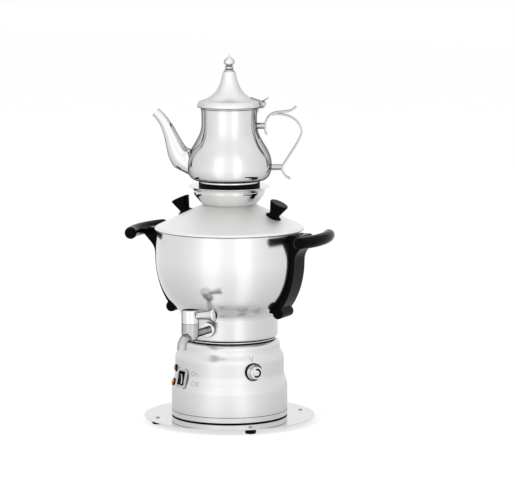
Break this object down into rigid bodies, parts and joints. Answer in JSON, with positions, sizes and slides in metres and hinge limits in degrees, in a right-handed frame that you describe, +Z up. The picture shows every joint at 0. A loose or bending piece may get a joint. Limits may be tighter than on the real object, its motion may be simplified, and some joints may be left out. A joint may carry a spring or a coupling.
{
  "type": "electric samovar",
  "caption": "Free-standing electric tea samovar: spun steel water vessel with tap on a heated base with switch, lamps and thermostat; lid with pot rest carries a hinged-lid teapot.",
  "frame": {"origin": "on the table surface, on the common axis of tray, base, vessel and teapot, at the centre of the circle of the feet", "axes": "+Z up; -Y towards the tap and the user; the two side handles lie on the X axis, the cable leaves towards +Y"},
  "size_m": [0.3696, 0.3438, 0.6454],
  "materials": {
    "satin_steel": "satin, spun stainless steel",
    "polished_steel": "mirror-polished stainless steel",
    "plain_steel": "plain zinc-plated steel",
    "grey_plastic": "satin grey switch frame",
    "black_plastic": "gloss black phenolic moulding",
    "black_rubber": "matt black rubber",
    "heater_steel": "dull tube, slightly darkened by heat",
    "brass": "plain turned brass",
    "copper": "drawn copper tube",
    "control_body": "matt dark housing",
    "cream_plastic": "matt cream",
    "red_lens": "clear red, domed",
    "amber_lens": "clear amber, domed"
  },
  "bodies": {
    "samovar": {"tray": "polished_steel", "tray_feet": "black_rubber", "foot_screws": "plain_steel", "base_gasket": "black_rubber", "base_ring": "satin_steel", "base_plate": "plain_steel", "plate_screws": "plain_steel", "base_shell": "satin_steel", "tie_rods": "plain_steel", "tie_nuts": "plain_steel", "neck_seals": "black_rubber", "neck_ring": "polished_steel", "vessel": "satin_steel", "heater_element": "heater_steel", "heater_seals": "black_rubber", "heater_nuts": "brass", "thermostat_bulb": "copper", "thermostat_body": "control_body", "thermostat_bezel": "black_plastic", "safety_cutout": "control_body", "switch_frame": "grey_plastic", "switch_body": "black_plastic", "lamp_red": "red_lens", "lamp_amber": "amber_lens", "lamp_bezels": "black_plastic", "cable_gland": "black_plastic", "gland_nut": "black_plastic", "terminal_block": "cream_plastic", "tap_wall_ring": "polished_steel", "tap_seals": "black_rubber", "tap_inner_nut": "brass", "tap_body": "polished_steel", "tap_gland_nut": "polished_steel", "handle_left": "black_plastic", "handle_right": "black_plastic", "handle_screws": "plain_steel"},
    "thermostat_dial": {"thermostat_shaft": "plain_steel", "thermostat_knob": "polished_steel"},
    "rocker": {"switch_rocker": "black_plastic"},
    "tap_handle": {"tap_plug": "brass", "tap_head": "polished_steel", "tap_head_screw": "plain_steel", "tap_cap": "polished_steel", "tap_lever": "polished_steel"},
    "lid": {"vessel_lid": "satin_steel", "pot_rest": "polished_steel", "pot_seat_ring": "black_rubber", "lid_knob_left": "black_plastic", "lid_knob_right": "black_plastic", "knob_screws": "plain_steel"},
    "teapot": {"teapot_foot": "polished_steel", "teapot_body": "polished_steel", "teapot_spout": "polished_steel", "teapot_handle": "polished_steel", "teapot_ferrules": "polished_steel", "teapot_hinge_leaf": "polished_steel", "teapot_hinge_pin": "plain_steel"},
    "teapot_cover": {"teapot_lid": "satin_steel", "teapot_lid_leaf": "polished_steel", "teapot_finial": "polished_steel"}
  },
  "joints": [
    {"name": "thermostat_turn", "type": "hinge", "parent": "samovar", "child": "thermostat_dial", "pos_m": [0.07482, -0.05951, 0.1003], "axis": [-0.7826, 0.6225, 0], "range_deg": [0, 280]},
    {"name": "switch_rock", "type": "hinge", "parent": "samovar", "child": "rocker", "pos_m": [-0.05007, -0.0786, 0.08231], "axis": [-0.8434, 0.5373, 0], "range_deg": [0, 18]},
    {"name": "tap_turn", "type": "hinge", "parent": "samovar", "child": "tap_handle", "pos_m": [0, -0.153, 0.2], "axis": [0, 0, -1], "range_deg": [0, 90]},
    {"name": "lid_lift", "type": "slide", "parent": "samovar", "child": "lid", "axis": [0, 0, 1], "range_m": [0, 0.15]},
    {"name": "teapot_lift", "type": "slide", "parent": "lid", "child": "teapot", "axis": [0, 0, 1], "range_m": [0, 0.12]},
    {"name": "teapot_lid_hinge", "type": "hinge", "parent": "teapot", "child": "teapot_cover", "pos_m": [0.05393, 0.0263, 0.55884], "axis": [-0.4384, 0.8988, 0], "range_deg": [0, 95]}
  ]
}
